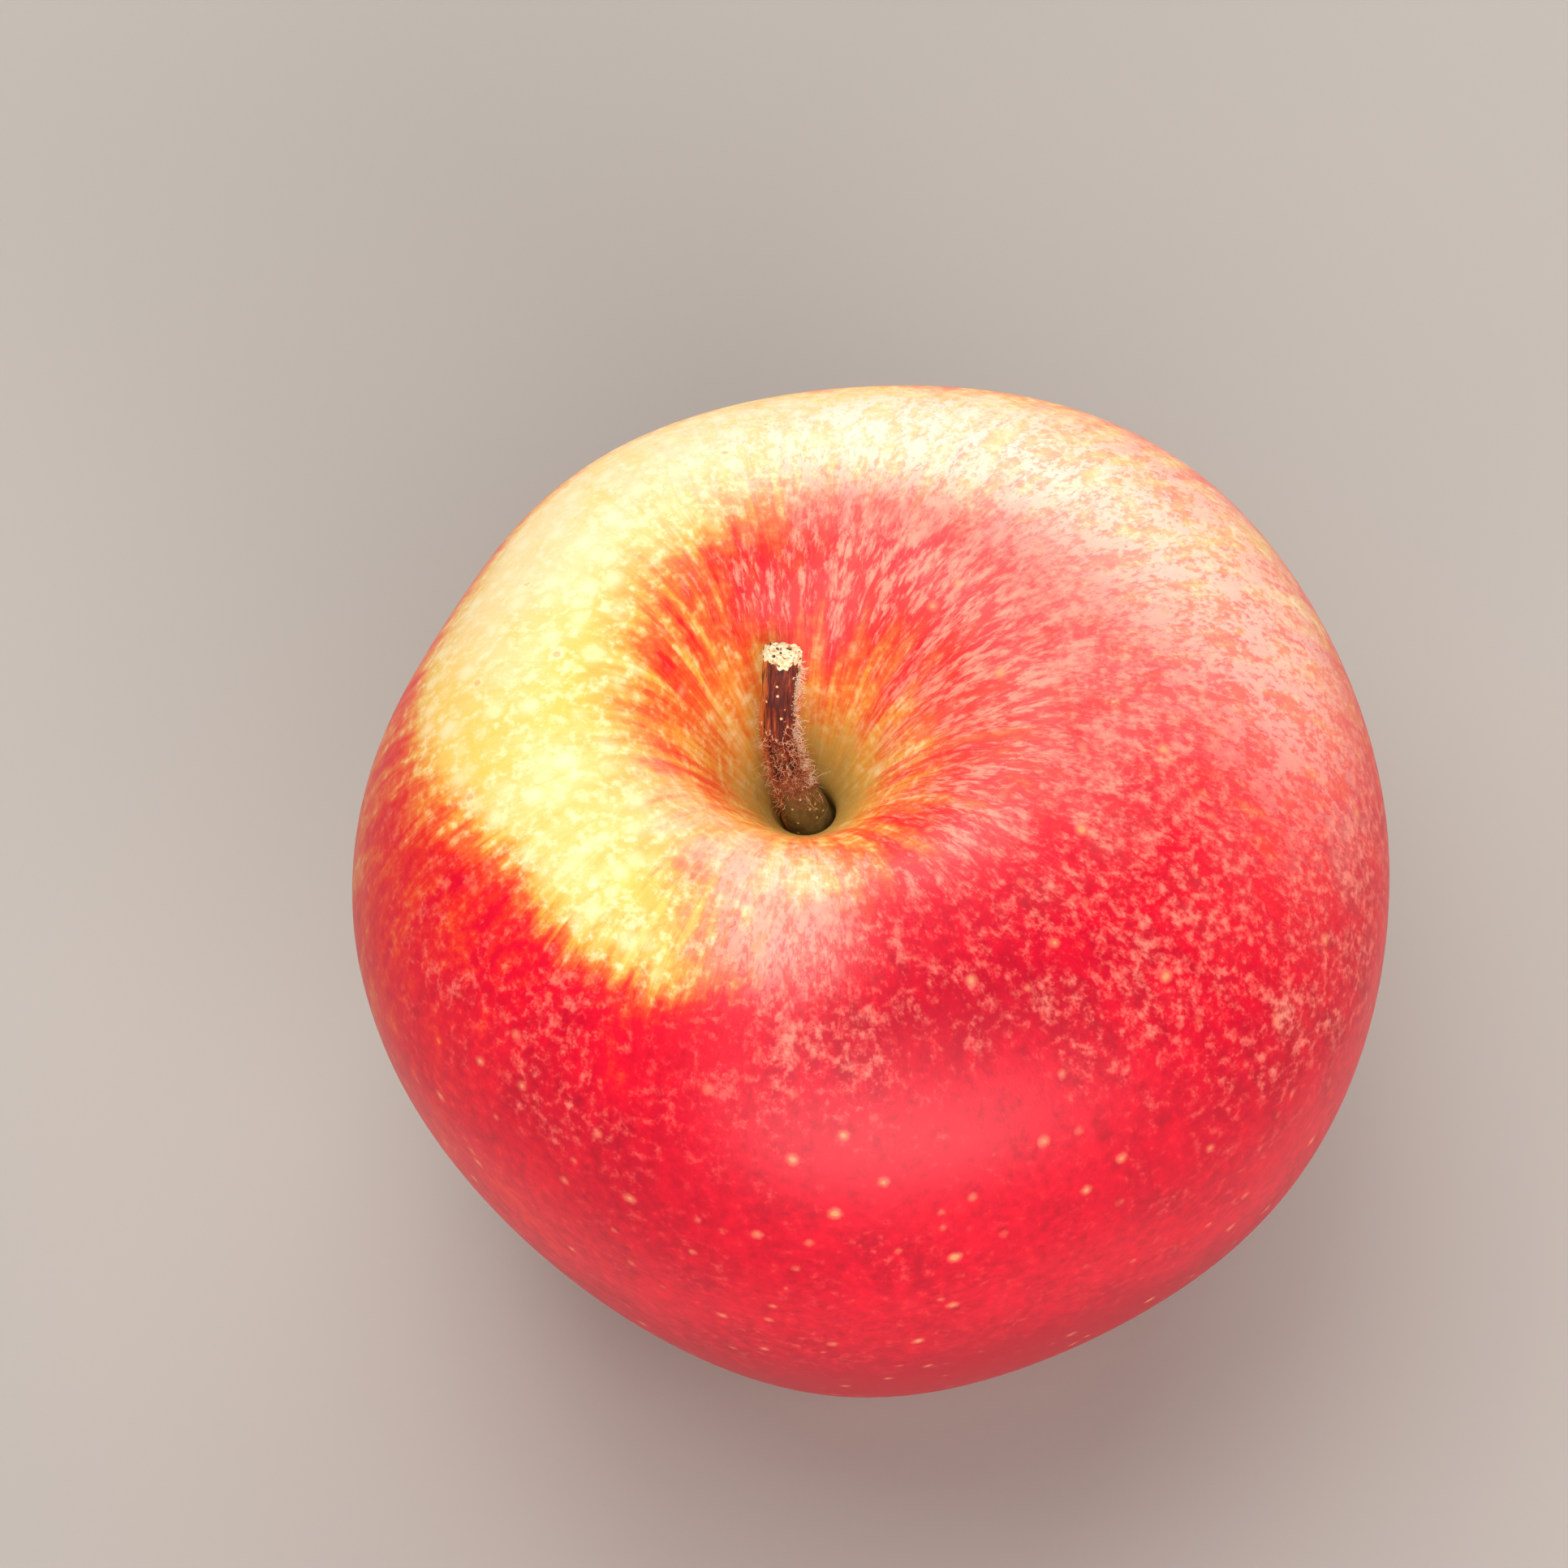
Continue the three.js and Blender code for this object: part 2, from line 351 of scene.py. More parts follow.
def round_fruit(stations, longitude):
    """A value that runs round the fruit through its stations, with the corners rounded off."""
    places, values = zip(*stations)
    runs = (np.interp(longitude + offset, places, values, period=360) for offset in ROUNDING)
    return sum(runs) / len(ROUNDING)


def turn_between(longitude, middle):
    """Shortest way round from middle, in degrees."""
    return (longitude - middle + 180) % 360 - 180


def yellow_share(longitude, arc):
    """How much of the ground colour shows, from 0, solid red, to 1, at a longitude and an arc in mm.

    Below the crescent the share is the side's, above it the hollow's, and the crescent is laid over
    both. It fades faster at its outer edge than towards the hollow. Both ends turn greenish.
    """
    runs = (CRESCENT_MIDDLE, CRESCENT_HALF, CRESCENT_SHARE, HOLLOW_SHARE, SIDE_SHARE)
    middle, half, share, hollow, side = (round_fruit(stations, longitude) for stations in runs)
    band = smooth_step(arc - middle + half, *CRESCENT_RISE)
    band = band * (1 - smooth_step(arc - middle - half, *CRESCENT_FALL))
    hollow = hollow + (FLOOR_YELLOW - hollow) * smooth_step(arc, *HOLLOW_FLOOR)
    side = side + (FLOWER_YELLOW - side) * (1 - smooth_step(arc, *FLOWER_END)) * 0.8
    ground = side + (hollow - side) * smooth_step(arc, *SIDE_TO_HOLLOW)
    ground = ground * (1 - covered(RED_PATCH, longitude, arc, power=1))
    return ground + (np.maximum(share, ground) - ground) * band


def covered(patches, longitude, arc, start=1.0, power=1.5):
    """How much soft patches cover: what is left clear is the product of what each one leaves clear.
    Each covers strength * exp(-(squared distance ** power)), with distance 1 at its ellipse."""
    clear = start
    for middle, height, wide, tall, strength in patches:
        place = (turn_between(longitude, middle) / wide) ** 2 + ((arc - height) / tall) ** 2
        clear = clear * (1 - strength * np.exp(-(place**power)))
    return 1 - clear


def tone(red, green, blue):
    """A screen colour of 0 to 255 as the linear colour that a node takes."""
    def line(value):
        value /= 255
        return value / 12.92 if value <= 0.04045 else ((value + 0.055) / 1.055) ** 2.4
    return (line(red), line(green), line(blue), 1.0)


class Finish:
    """A material under construction. Each method adds nodes and gives back an output."""

    def __init__(self, name):
        self.material = bpy.data.materials.new(name)
        self.material.use_nodes = True
        self.nodes = self.material.node_tree.nodes
        self.links = self.material.node_tree.links
        self.place = self.add("TexCoord", {}).outputs["Object"]

    def feed(self, socket, value):
        """Links an output to the socket or sets its value. None leaves it as it is."""
        if isinstance(value, bpy.types.NodeSocket):
            self.links.new(value, socket)
        elif value is not None:
            socket.default_value = value

    def add(self, kind, inputs, **settings):
        node = self.nodes.new("ShaderNode" + kind)
        for key, value in settings.items():
            setattr(node, key, value)
        for key, value in inputs.items():
            self.feed(node.inputs[key], value)
        return node

    def painted(self, name, output="Fac"):
        return self.add("Attribute", {}, attribute_name=name).outputs[output]

    def math(self, operation, first, second=None, third=None):
        return self.add("Math", {0: first, 1: second, 2: third}, operation=operation).outputs[0]

    def times(self, first, second):
        return self.math("MULTIPLY", first, second)

    def line(self, value, slope, start):
        """The start plus the slope times the value."""
        return self.math("MULTIPLY_ADD", value, slope, start)

    def sway(self, base, noise, weight):
        """The base moved both ways by a noise: base plus weight times (noise minus a half)."""
        return self.line(self.math("SUBTRACT", noise, 0.5), weight, base)

    def stretch(self, vector, scale):
        return self.add("VectorMath", {0: vector, 1: scale}, operation="MULTIPLY").outputs[0]

    def noise(self, size, detail, roughness, distortion=0.0, vector=None):
        inputs = {"Vector": vector or self.place, "Scale": 1 / size, "Detail": detail}
        inputs.update({"Roughness": roughness, "Distortion": distortion})
        return self.add("TexNoise", inputs).outputs["Fac"]

    def cells(self, size):
        return self.add("TexVoronoi", {"Vector": self.place, "Scale": 1 / size}).outputs

    def step(self, value, low, high, start=0.0, end=1.0):
        inputs = {"Value": value, "From Min": low, "From Max": high, "To Min": start, "To Max": end}
        return self.add("MapRange", inputs, interpolation_type="SMOOTHSTEP").outputs[0]

    def blend(self, share, first, second):
        return self.add("Mix", {0: share, 6: first, 7: second}, data_type="RGBA").outputs[2]

    def between(self, share, first, second):
        return self.add("Mix", {0: share, 2: first, 3: second}, data_type="FLOAT").outputs[0]

    def ramp(self, value, stops):
        """Colours by value. Each stop is its value and its screen colour."""
        node = self.add("ValToRGB", {0: value})
        while len(node.color_ramp.elements) < len(stops):
            node.color_ramp.elements.new(1)
        for element, (place, *colour) in zip(node.color_ramp.elements, stops):
            element.position = place
            element.color = tone(*colour)
        return node.outputs["Color"]

    def bump(self, height, depth):
        return self.add("Bump", {"Height": height, "Distance": depth, "Strength": 1.0}).outputs["Normal"]

    def finish(self, **inputs):
        shader = self.nodes["Principled BSDF"]
        for key, value in inputs.items():
            self.feed(shader.inputs[key.replace("_", " ")], value)
        return self.material


# The skin's grain is laid on two cylinders, a narrow one in the hollows and a wide one on the side
NARROW_GRAIN, WIDE_GRAIN = 9 * MM, 30 * MM
HOLLOW_EDGE = (14 * MM, 23 * MM)  # radii between which one gives way to the other
# Ramp from yellow to red. Its darkest crimson also stands for painted shade, where the shade patches push
# the red past full.
PIGMENT_AND_SHADE_COLOURS = (
    (0.0, 240, 216, 148), (0.1, 240, 196, 104), (0.24, 238, 160, 64), (0.38, 236, 102, 48),
    (0.52, 232, 44, 34), (0.66, 222, 6, 40), (0.88, 196, 0, 36), (1.0, 172, 0, 32),
)


class AppleSkin(Finish):
    """The skin's material. The noises that its layers share are made first, and each method then
    gives how much there is of one layer."""

    def __init__(self):
        super().__init__("apple_skin")
        self.grain = self.painted("grain", "Vector")
        self.outside = self.step(self.painted("reach"), *HOLLOW_EDGE)
        self.clouds = self.noise(9 * MM, 2.0, 0.5)
        self.patches = self.noise(4.5 * MM, 3.0, 0.6, vector=self.stretch(self.place, (1, 1, 0.8)))
        self.mottle = self.noise(0.95 * MM, 3.0, 0.62)
        self.strokes = self.drawn_out((0.2, 1.275 * MM, 4.0, 0.62, 0.4), (0.62, 1.7 * MM, 4.0, 0.62, 0.4))
        self.threads = self.drawn_out((0.2, 0.315 * MM, 4.0, 0.7, 0.3), (0.62, 0.42 * MM, 4.0, 0.7, 0.3))
        self.stripes = self.drawn_out((0.07, 1 * MM, 3.0, 0.6, 0.3), (0.14, 1.5 * MM, 4.0, 0.65, 0.5))

    def drawn_out(self, inner, outer):
        """Noise drawn out along the grain, one kind in the hollows and one on the side. Each is its
        lengthwise scale and what noise() takes."""
        kinds = []
        for radius, (lengthwise, *kind) in ((NARROW_GRAIN, inner), (WIDE_GRAIN, outer)):
            kinds.append(self.noise(*kind, self.stretch(self.grain, (radius, radius, lengthwise))))
        return self.between(self.outside, *kinds)

    def red_and_shade(self):
        """Red: what the skin's own red and the painted shade set, made uneven most where it is neither
        clear nor solid.
        """
        blush = self.painted("blush")
        solid = self.step(blush, 0.62, 1.0)
        drift = self.sway(0.0, self.strokes, 0.7)
        drift = self.sway(drift, self.patches, 0.55)
        drift = self.sway(drift, self.clouds, 0.5)
        drift = self.sway(drift, self.stripes, self.between(solid, 1.15, 0.6))
        drift = self.sway(drift, self.mottle, self.line(self.times(solid, self.outside), -0.8, -0.5))
        half_open = self.times(blush, self.math("SUBTRACT", 1.1, blush))
        uneven = self.line(half_open, 1.7, self.line(blush, 0.34, 0.08))
        return self.times(self.line(drift, uneven, blush), 0.8)

    def opening(self):
        """How densely the pale flecks lie."""
        return self.sway(self.sway(self.painted("fleck"), self.patches, 0.8), self.clouds, 0.6)

    def flecks(self, opening):
        """Streaks of the fine noise in the hollows, and softer flecks on the side, where the noise
        rises above a level that falls as the density grows."""
        crisp = self.sway(self.threads, self.strokes, 0.55)
        soft = self.line(self.mottle, 0.7, self.line(crisp, 0.4, -0.045))
        level = self.line(opening, -0.17, 0.645)
        lit = self.math("SUBTRACT", self.between(self.outside, crisp, soft), level)
        shape = self.step(lit, self.between(self.outside, -0.06, -0.09), 0.18)
        return self.times(shape, self.step(opening, 0.0, 0.8, 0.08, self.between(self.outside, 0.72, 0.54)))

    def blobs(self):
        ragged = self.sway(self.cells(2.3 * MM)["Distance"], self.mottle, 1.1)
        return self.times(self.step(ragged, 0.46, 0.1), 0.48)

    def painted_sheen(self):
        """Painted sheen: cream where the back light's sheen falls, on the shoulder and at the near rim of
        the hollow, laid in like a milky wax coat and broken up by the streaks.
        """
        broken = self.sway(self.threads, self.strokes, 0.9)
        return self.times(self.painted("bloom"), self.step(broken, 0.4, 0.6, 0.4, 1.0))

    def pores(self):
        """Halo and core of each pore, where the surface cuts close to a cell's point."""
        cells = self.cells(3 * MM)
        chance = self.add("SeparateColor", {0: cells["Color"]}).outputs[0]
        nearness = self.line(chance, 0.5, self.times(cells["Distance"], 3.3))
        ragged = self.sway(nearness, self.threads, 0.6)
        return self.step(ragged, 0.85, 0.3), self.step(ragged, 0.42, 0.26)

    def rough(self, russet, net):
        """The net of russet round the stem and the flower end, broken up by the streaks."""
        ragged = self.sway(self.sway(russet, net, 0.7), self.strokes, 1.0)
        return self.times(self.step(ragged, 0.3, 0.95), 0.86)


def skin_material(look):
    """Waxy skin: red in streaks over yellow, deepened by painted shade, then one layer after another over
    that, a painted sheen among them.
    """
    skin = AppleSkin()
    red_and_shade = skin.red_and_shade()
    opening = skin.opening()
    halo, core = skin.pores()
    russet = skin.painted("russet")
    net = skin.noise(0.8 * MM, 4.0, 0.7)
    rough = skin.rough(russet, net)
    on_red = skin.step(red_and_shade, 0.1, 0.5)
    open_ground = skin.step(red_and_shade, 0.34, 0.08)
    pale_ground = skin.step(red_and_shade, 0.45, 0.1, 0.0, 0.5)
    specks = skin.step(skin.cells(11 * MM)["Distance"], 0.024, 0.014)
    pale = skin.blend(on_red, tone(252, 240, 196), tone(252, 166, 142))
    ring = skin.blend(on_red, tone(248, 236, 186), tone(246, 150, 112))
    green = skin.blend(skin.step(russet, 0.35, 1.0), tone(226, 200, 100), tone(190, 160, 80))
    colour = skin.ramp(red_and_shade, PIGMENT_AND_SHADE_COLOURS)
    for share, over in (
        (skin.times(skin.step(opening, 0.5, 1.35), 0.24), pale),
        (skin.times(open_ground, skin.step(skin.clouds, 0.48, 0.62, 0.0, 0.6)), tone(240, 196, 76)),
        (skin.times(open_ground, skin.blobs()), tone(252, 242, 200)),
        (skin.times(pale_ground, skin.step(skin.mottle, 0.46, 0.7)), tone(252, 240, 196)),
        # Painted sheen, in cream, where the back light's sheen falls
        (skin.painted_sheen(), tone(252, 226, 206)),
        (skin.flecks(opening), pale),
        (skin.times(halo, 0.42), ring),
        (skin.times(core, 0.6), tone(226, 156, 92)),
        (rough, green),
        (specks, tone(70, 36, 22)),
    ):
        colour = skin.blend(share, colour, over)
    relief = skin.line(rough, skin.times(net, 1.2), skin.line(skin.threads, 0.35, skin.times(halo, 0.5)))
    return skin.finish(
        Base_Color=colour,
        Roughness=skin.line(rough, 0.3, skin.sway(look.gloss_roughness, skin.clouds, 0.12)),
        Normal=skin.bump(relief, 0.05 * MM),
        Specular_IOR_Level=0.28,
        Subsurface_Weight=0.06,
        Subsurface_Radius=(0.9, 0.3, 0.15),
        Subsurface_Scale=1.5 * MM,
    )


BARK_COLOURS = ((0.3, 40, 12, 10), (0.46, 84, 24, 18), (0.57, 128, 46, 26), (0.72, 188, 100, 48))


def bark_material():
    """Dark bark with an up-and-down grain, pores, a felt of dead hairs and bare wood at the cut."""
    bark = Finish("stem_bark")
    grain = bark.stretch(bark.painted("grain", "Vector"), (1.5 * MM, 1.5 * MM, 0.16))
    lines = bark.noise(0.32 * MM, 4.0, 0.65, 0.3, grain)
    flakes = bark.noise(0.55 * MM, 3.0, 0.6)
    fibres = bark.noise(0.4 * MM, 2.0, 0.6)
    bare = bark.painted("bare")
    hole = bark.step(bark.cells(0.5 * MM)["Distance"], 0.34, 0.2)
    cut = bark.ramp(fibres, ((0.3, 168, 118, 70), (0.42, 236, 204, 150), (0.55, 253, 238, 202)))
    cut = bark.blend(bark.times(hole, bark.step(bare, 0.9, 1.0)), cut, tone(72, 42, 22))
    woolly = bark.step(bark.sway(bark.painted("felt"), flakes, 1.4), 0.35, 0.8)
    mossy = bark.step(bark.sway(bark.painted("root"), flakes, 0.5), 0.25, 0.75)
    sunny = bark.times(bark.step(bark.painted("sunward"), 0.55, 0.95), bark.step(lines, 0.3, 0.6))
    dot = bark.step(bark.cells(0.8 * MM)["Distance"], 0.17, 0.1)
    colour = bark.ramp(lines, BARK_COLOURS)
    for share, over in (
        (bark.times(woolly, 0.55), tone(178, 116, 82)),
        (mossy, bark.blend(flakes, tone(84, 66, 30), tone(158, 132, 76))),
        (sunny, tone(206, 122, 56)),
        (dot, tone(240, 214, 150)),
        (bark.step(bark.sway(bare, fibres, 0.8), 0.35, 0.6), cut),
    ):
        colour = bark.blend(share, colour, over)
    return bark.finish(
        Base_Color=colour,
        Roughness=bark.line(lines, -0.25, 0.85),
        Normal=bark.bump(bark.line(fibres, 0.5, lines), 0.18 * MM),
    )


def dried_material(name, dark, middle, light):
    """Papery dead tissue, brown and grey, with a fine grain and a rough dry surface."""
    dried = Finish(name)
    cloud = dried.noise(1.2 * MM, 4.0, 0.6)
    fine = dried.noise(0.25 * MM, 3.0, 0.65)
    mixed = dried.line(fine, 0.45, dried.times(cloud, 0.6))
    return dried.finish(
        Base_Color=dried.ramp(mixed, ((0.35, *dark), (0.52, *middle), (0.68, *light))),
        Roughness=dried.line(cloud, 0.2, 0.75),
        Normal=dried.bump(fine, 0.08 * MM),
    )


def hair_material():
    """Fine dead hairs, pale with a pink and brown cast that changes from hair to hair. The hairs down the
    ridge take a lighter cream: a painted highlight, standing in for the back light that catches them at the
    edge.
    """
    hair = Finish("stem_hair")
    cast = hair.noise(0.9 * MM, 2.0, 0.6)
    warm = hair.ramp(cast, ((0.36, 178, 100, 66), (0.5, 226, 158, 118), (0.62, 252, 214, 178)))
    cream = hair.ramp(cast, ((0.36, 240, 186, 140), (0.5, 255, 226, 190), (0.62, 255, 242, 222)))
    # Painted highlight: the hairs marked pale, down the ridge, take the cream ramp in place of the back
    # light on them.
    colour = hair.blend(hair.painted("pale"), warm, cream)
    return hair.finish(Base_Color=colour, Roughness=hair.line(cast, 0.2, 0.5))


def floor_material(look):
    """Matt warm pale paper with a faint tooth."""
    paper = Finish("studio_paper")
    tooth = paper.noise(2 * MM, 3.0, 0.6)
    wash = paper.noise(120 * MM, 2.0, 0.5)
    dim, bright = ((*(min(part * share, 1) for part in look.floor_colour), 1.0) for share in (0.96, 1.03))
    return paper.finish(
        Base_Color=paper.blend(paper.step(wash, 0.3, 0.7), dim, bright),
        Roughness=paper.line(tooth, 0.1, 0.8),
        Normal=paper.bump(tooth, 0.02 * MM),
    )


# ---- settings
def setting(kind, **details):
    """Gives back a maker of one kind of setting, which takes its name, description and default."""
    def make(name, description, default):
        return kind(name=name, description=description, default=default, min=0, **details)
    return make


length = setting(bpy.props.FloatProperty, unit="LENGTH")
lamp_power = setting(bpy.props.FloatProperty, unit="POWER")
fraction = setting(bpy.props.FloatProperty, subtype="FACTOR", max=1)
whole = setting(bpy.props.IntProperty)
tint = setting(bpy.props.FloatVectorProperty, subtype="COLOR", max=1)


class FruitSize(bpy.types.PropertyGroup):
    height: length("Height", "Foot to shoulder crest, before the shoulder tilts", 63.7 * MM)
    girth_radius: length("Girth radius", "Mean radius at the widest ring", 39 * MM)
    girth_height: length("Girth height", "Height of the widest ring", 41.5 * MM)
    crest_radius: length("Crest radius", "Radius of the highest ring, round the hollow", 18.4 * MM)
    hollow_depth: length("Hollow depth", "Crest to the floor that the stem stands on", 15.4 * MM)
    foot_radius: length("Foot radius", "Radius of the lowest ring", 15.4 * MM)
    basin_depth: length("Basin depth", "Foot to the rim of the flower tube", 8 * MM)


class StemSize(bpy.types.PropertyGroup):
    hairs: whole("Hairs", "Number of dead hairs on the stem", 1700)
    hair_length: length("Hair length", "Length of a long hair", 0.9 * MM)
    hair_width: length("Hair width", "Width of a hair at its root", 0.068 * MM)


class FlowerEndSize(bpy.types.PropertyGroup):
    sepals: whole("Sepals", "Number of dried sepals", 5)
    stamens: whole("Stamens", "Number of dried stamens", 10)
    sepal_thickness: fraction("Sepal thickness", "Thickness as a share of the width", 0.24)


class StudioLook(bpy.types.PropertyGroup):
    gloss_roughness: fraction("Skin roughness", "Roughness of the waxy skin", 0.38)
    floor_colour: tint("Floor colour", "Colour of the paper floor", (0.38, 0.352, 0.325))
    floor_width: length("Floor width", "Side of the square of paper", 5)
    back_power: lamp_power("Back light", "Power of the large light behind", 17)
    top_power: lamp_power("Top light", "Power of the soft light overhead", 6)
    front_power: lamp_power("Front light", "Power of the low light in front", 16)
    fill_power: lamp_power("Fill light", "Power of the high light in front", 3)
    sky: fraction("Sky", "Strength of the even light from all round", 0.17)


# ---- fruit
class OBJECT_OT_fruit_skin(bpy.types.Operator):
    """Make the fruit's skin, with its colour fields painted on its points"""

    bl_idname = "object.fruit_skin"
    bl_label = "Fruit skin"
    columns = 400
    rows = 230
    bake_margin = 0.004

    def execute(self, context):
        size = context.scene.fruit_size
        points, arc, radius, longitude = fruit_points(size, self.columns, self.rows)
        points = points - middle_of(size)
        mesh = lay_mesh("fruit_skin", points[None, 1:-1], points[None, 0, 0], points[None, -1, 0])
        arc_of = np.append(np.repeat(arc[1:-1], self.columns), (arc[0], arc[-1]))
        turn_of = np.append(np.tile(longitude, self.rows - 2), (0, 0))
        on_ring = np.append(np.ones((self.rows - 2) * self.columns), (0, 0))
        self.paint(mesh, turn_of, arc_of, on_ring, np.interp(arc_of, arc, radius))
        self.unroll(mesh, arc)
        set_piece("fruit_skin", mesh, skin_material(context.scene.studio_look), "fruit")
        return {"FINISHED"}

    def paint(self, mesh, turn, arc, on_ring, radius):
        """Writes the colour fields that the skin material reads, painted shade and painted sheen among
        them, and the direction of its grain.
        """
        degrees = np.degrees(turn)
        arc_mm = arc / MM
        above, below = smooth_step(arc_mm, *HOLLOW_RUSSET), 1 - smooth_step(arc_mm, *FLOWER_RUSSET)
        # Painted shade: the shade patches add to the red field, on top of the skin's own red.
        deep = covered(SHADE_PATCHES, degrees, arc_mm)
        write_fields(
            mesh,
            grain=np.stack([np.cos(turn) * on_ring, np.sin(turn) * on_ring, arc], -1),
            blush=1 - yellow_share(degrees, arc_mm) + SHADE_RED * deep,
            fleck=covered(FLECK_PATCHES, degrees, arc_mm, start=CLEAR_OF_FLECKS),
            bloom=covered(SHEEN_AND_BLOOM_PATCHES, degrees, arc_mm),
            russet=above**1.3 + below * 0.8,
            reach=radius,
        )

    def unroll(self, mesh, arc):
        """A bake map: longitude across and arc length up, with the seam closed corner by corner."""
        left = np.arange(self.columns) / self.columns
        step = 1 / self.columns
        up = arc / arc[-1]
        across = np.tile(left, self.rows - 3)
        low = np.repeat(up[1:-2], self.columns)
        high = np.repeat(up[2:-1], self.columns)
        quads = np.stack([across, low, across + step, low, across + step, high, across, high], -1)
        zero = np.zeros(self.columns)
        first, last = zero + up[1], zero + up[-2]
        bottom = np.stack([left + step / 2, zero, left + step, first, left, first], -1)
        top = np.stack([left + step / 2, zero + 1, left, last, left + step, last], -1)
        values = np.concatenate([quads.ravel(), bottom.ravel(), top.ravel()])
        layer = mesh.uv_layers.new(name="OFBake")
        values = self.bake_margin + (1 - 2 * self.bake_margin) * values
        layer.data.foreach_set("uv", values.astype(np.float32))


# ---- stem
STEM_PLACES = ((0, 0, -2.8), (0, 0, 0), (-0.9, 1, 3.2), (-1.55, 2.9, 7.6), (-1.05, 6.2, 12.9))
STEM_HALF_WIDTHS = (1.75, 1.8, 1.55, 1.38, 1.3, 1.3, 1.36, 1.5)
STEM_STEPS = 300
STEM_LENGTH = 17 * MM
BARK_LENGTH = 16  # length of the stem in steps of the pattern of its bark
RIGHTWARD = np.array([1.0, 0, 0])
GROOVE_DEPTH, BUMP_DEPTH = 0.045 * MM, 0.06 * MM
PIT_DEPTH, HOLE_DEPTH, DISH_DEPTH, TEAR_DEPTH = 0.1 * MM, 0.5 * MM, 0.22 * MM, 0.13 * MM
NOTCH = (12, 26, 0.014)  # bare notch below the cut: turn, half width in degrees, share of the length
BARE_EDGE = 0.964  # share of the length at which bare wood starts
RIDGE_SHARE = 0.38  # share of the hairs that stand on one edge
RIDGE_TURN = 76


def stem_route(size):
    """Middle line of the grown stem, with its points evenly spaced before they grew."""
    foot = np.array([0, 0, size.height - size.hollow_depth])
    return grow(size, even_route(np.array(STEM_PLACES) * MM, STEM_STEPS) + foot)


def stem_half_width(along):
    """Half width at a share of the length: a spline through the listed widths."""
    return spread(along, STEM_HALF_WIDTHS, 400)


def stem_place(size, along, turn, lift):
    """Points on the stem's bark at a share of the length and a turn round it, lifted off by lift,
    and the way out of the bark there."""
    route = stem_route(size)
    side, front, _ = sides_of(route, RIGHTWARD)
    share_at = np.linspace(0, 1, STEM_STEPS)

    def pick(values):
        return np.stack([np.interp(along, share_at, values[:, k]) for k in range(3)], -1)

    out = pick(side) * np.cos(turn)[..., None] + pick(front) * np.sin(turn)[..., None]
    return pick(route) + out * (stem_half_width(along) + lift)[..., None], out


